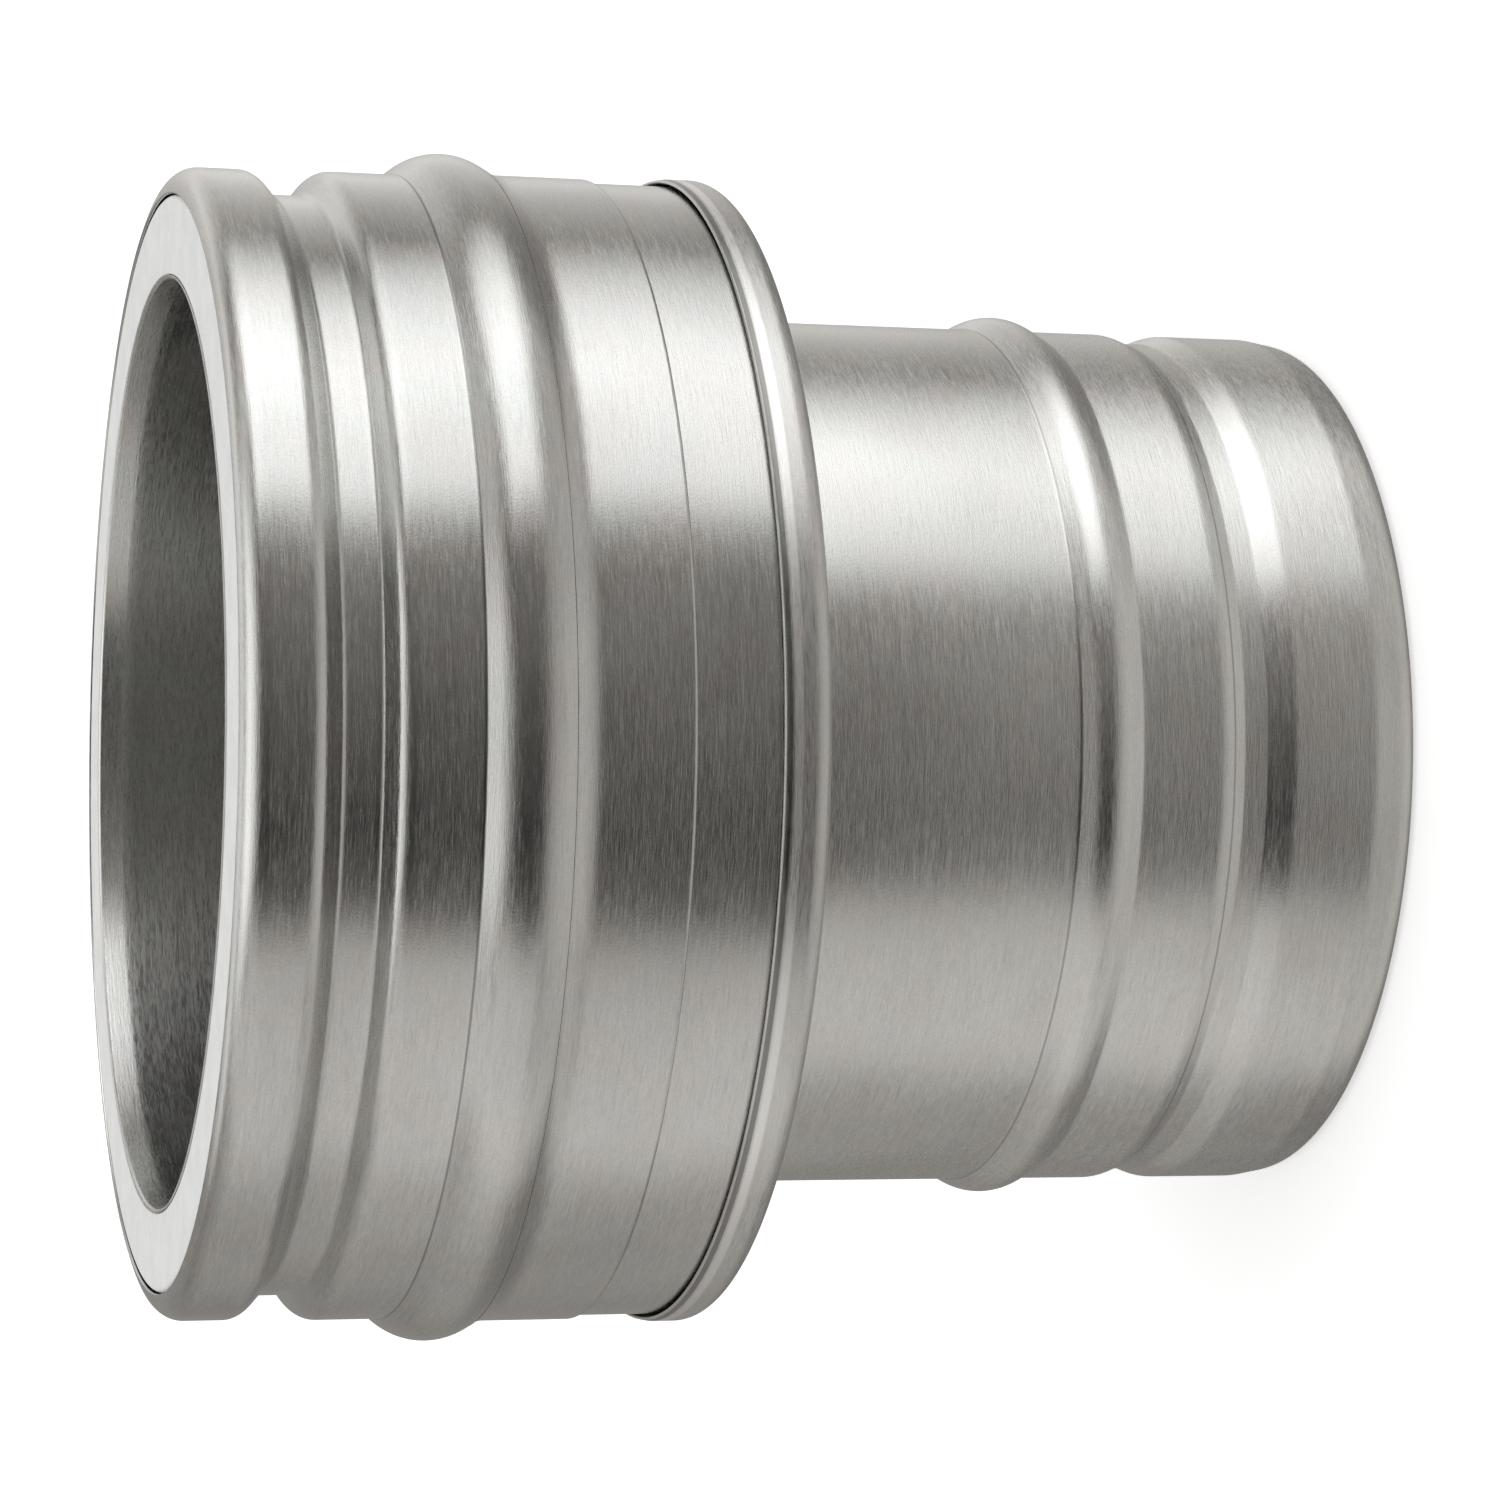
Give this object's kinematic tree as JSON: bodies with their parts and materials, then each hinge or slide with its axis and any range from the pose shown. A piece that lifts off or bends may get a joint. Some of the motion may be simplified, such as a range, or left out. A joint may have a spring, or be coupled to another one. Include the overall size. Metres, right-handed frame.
{
  "type": "flue transition adapter",
  "caption": "Round stainless flue adapter: an insulated twin-wall socket end steps down to a beaded, grooved single-wall spigot for a smaller pipe.",
  "frame": {"origin": "centre of the spigot's lower end, on the flue's axis; the part stands on its spigot", "axes": "+Z along the flue's axis, from the spigot up to the insulated mouth; X and Y are any pair across it"},
  "size_m": [0.2064, 0.2064, 0.203],
  "materials": {
    "casing_steel": "satin, brushed around the axis",
    "liner_steel": "satin, brushed around the axis",
    "packing": "matt moulded fibre"
  },
  "bodies": {
    "root": {"outer_casing": "casing_steel", "rear_sleeve": "casing_steel", "end_cap": "casing_steel", "flue_liner": "liner_steel", "insulation": "packing"}
  },
  "joints": []
}
